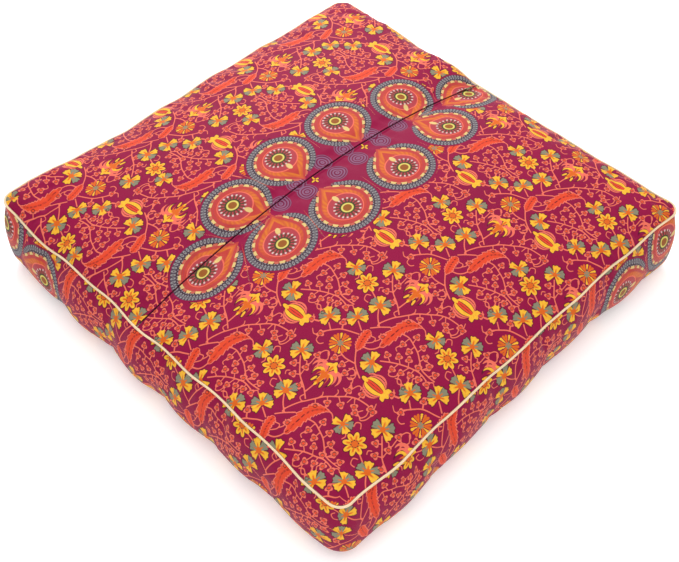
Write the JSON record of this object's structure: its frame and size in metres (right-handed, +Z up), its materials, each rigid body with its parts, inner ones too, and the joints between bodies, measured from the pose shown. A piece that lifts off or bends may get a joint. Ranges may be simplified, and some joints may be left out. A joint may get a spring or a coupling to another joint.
{
  "type": "square boxed floor cushion",
  "caption": "Square boxed floor cushion with a zip across its crowned top, a piped top edge and a filled inner case; the zip's slider travels and its pull folds over.",
  "frame": {"origin": "middle of the footprint, on the floor under the bottom panel", "axes": "+Z up; the zip runs along Y and its closed end is at +Y; +X is to the right of the zip as seen from the front"},
  "size_m": [0.935, 0.935, 0.2237],
  "materials": {
    "printed_cotton": "matte",
    "piping_satin": "satin",
    "cord_cotton": "matte",
    "zip_nylon": "matte",
    "slider_metal": "satin",
    "case_cotton": "matte",
    "fibre_fill": "matte"
  },
  "bodies": {
    "cushion": {"top_panel_left": "printed_cotton", "top_panel_right": "printed_cotton", "bottom_panel": "printed_cotton", "boxing_front_right": "printed_cotton", "boxing_back_left": "printed_cotton", "piping_cover": "piping_satin", "piping_cord": "cord_cotton", "zip_tape_left": "zip_nylon", "zip_tape_right": "zip_nylon", "zip_coil_left": "zip_nylon", "zip_coil_right": "zip_nylon", "inner_case_top": "case_cotton", "inner_case_bottom": "case_cotton", "filling": "fibre_fill"},
    "slider": {"zip_slider": "slider_metal"},
    "pull": {"zip_pull": "slider_metal"}
  },
  "joints": [
    {"name": "zip_travel", "type": "hinge", "parent": "cushion", "child": "slider", "pos_m": [-0.048, 0, -1.24389], "axis": [1, 0, 0], "range_deg": [0, 32]},
    {"name": "pull_fold", "type": "hinge", "parent": "slider", "child": "pull", "pos_m": [-0.048, 0.40536, 0.16801], "axis": [1, 0, 0], "range_deg": [0, 180]}
  ]
}
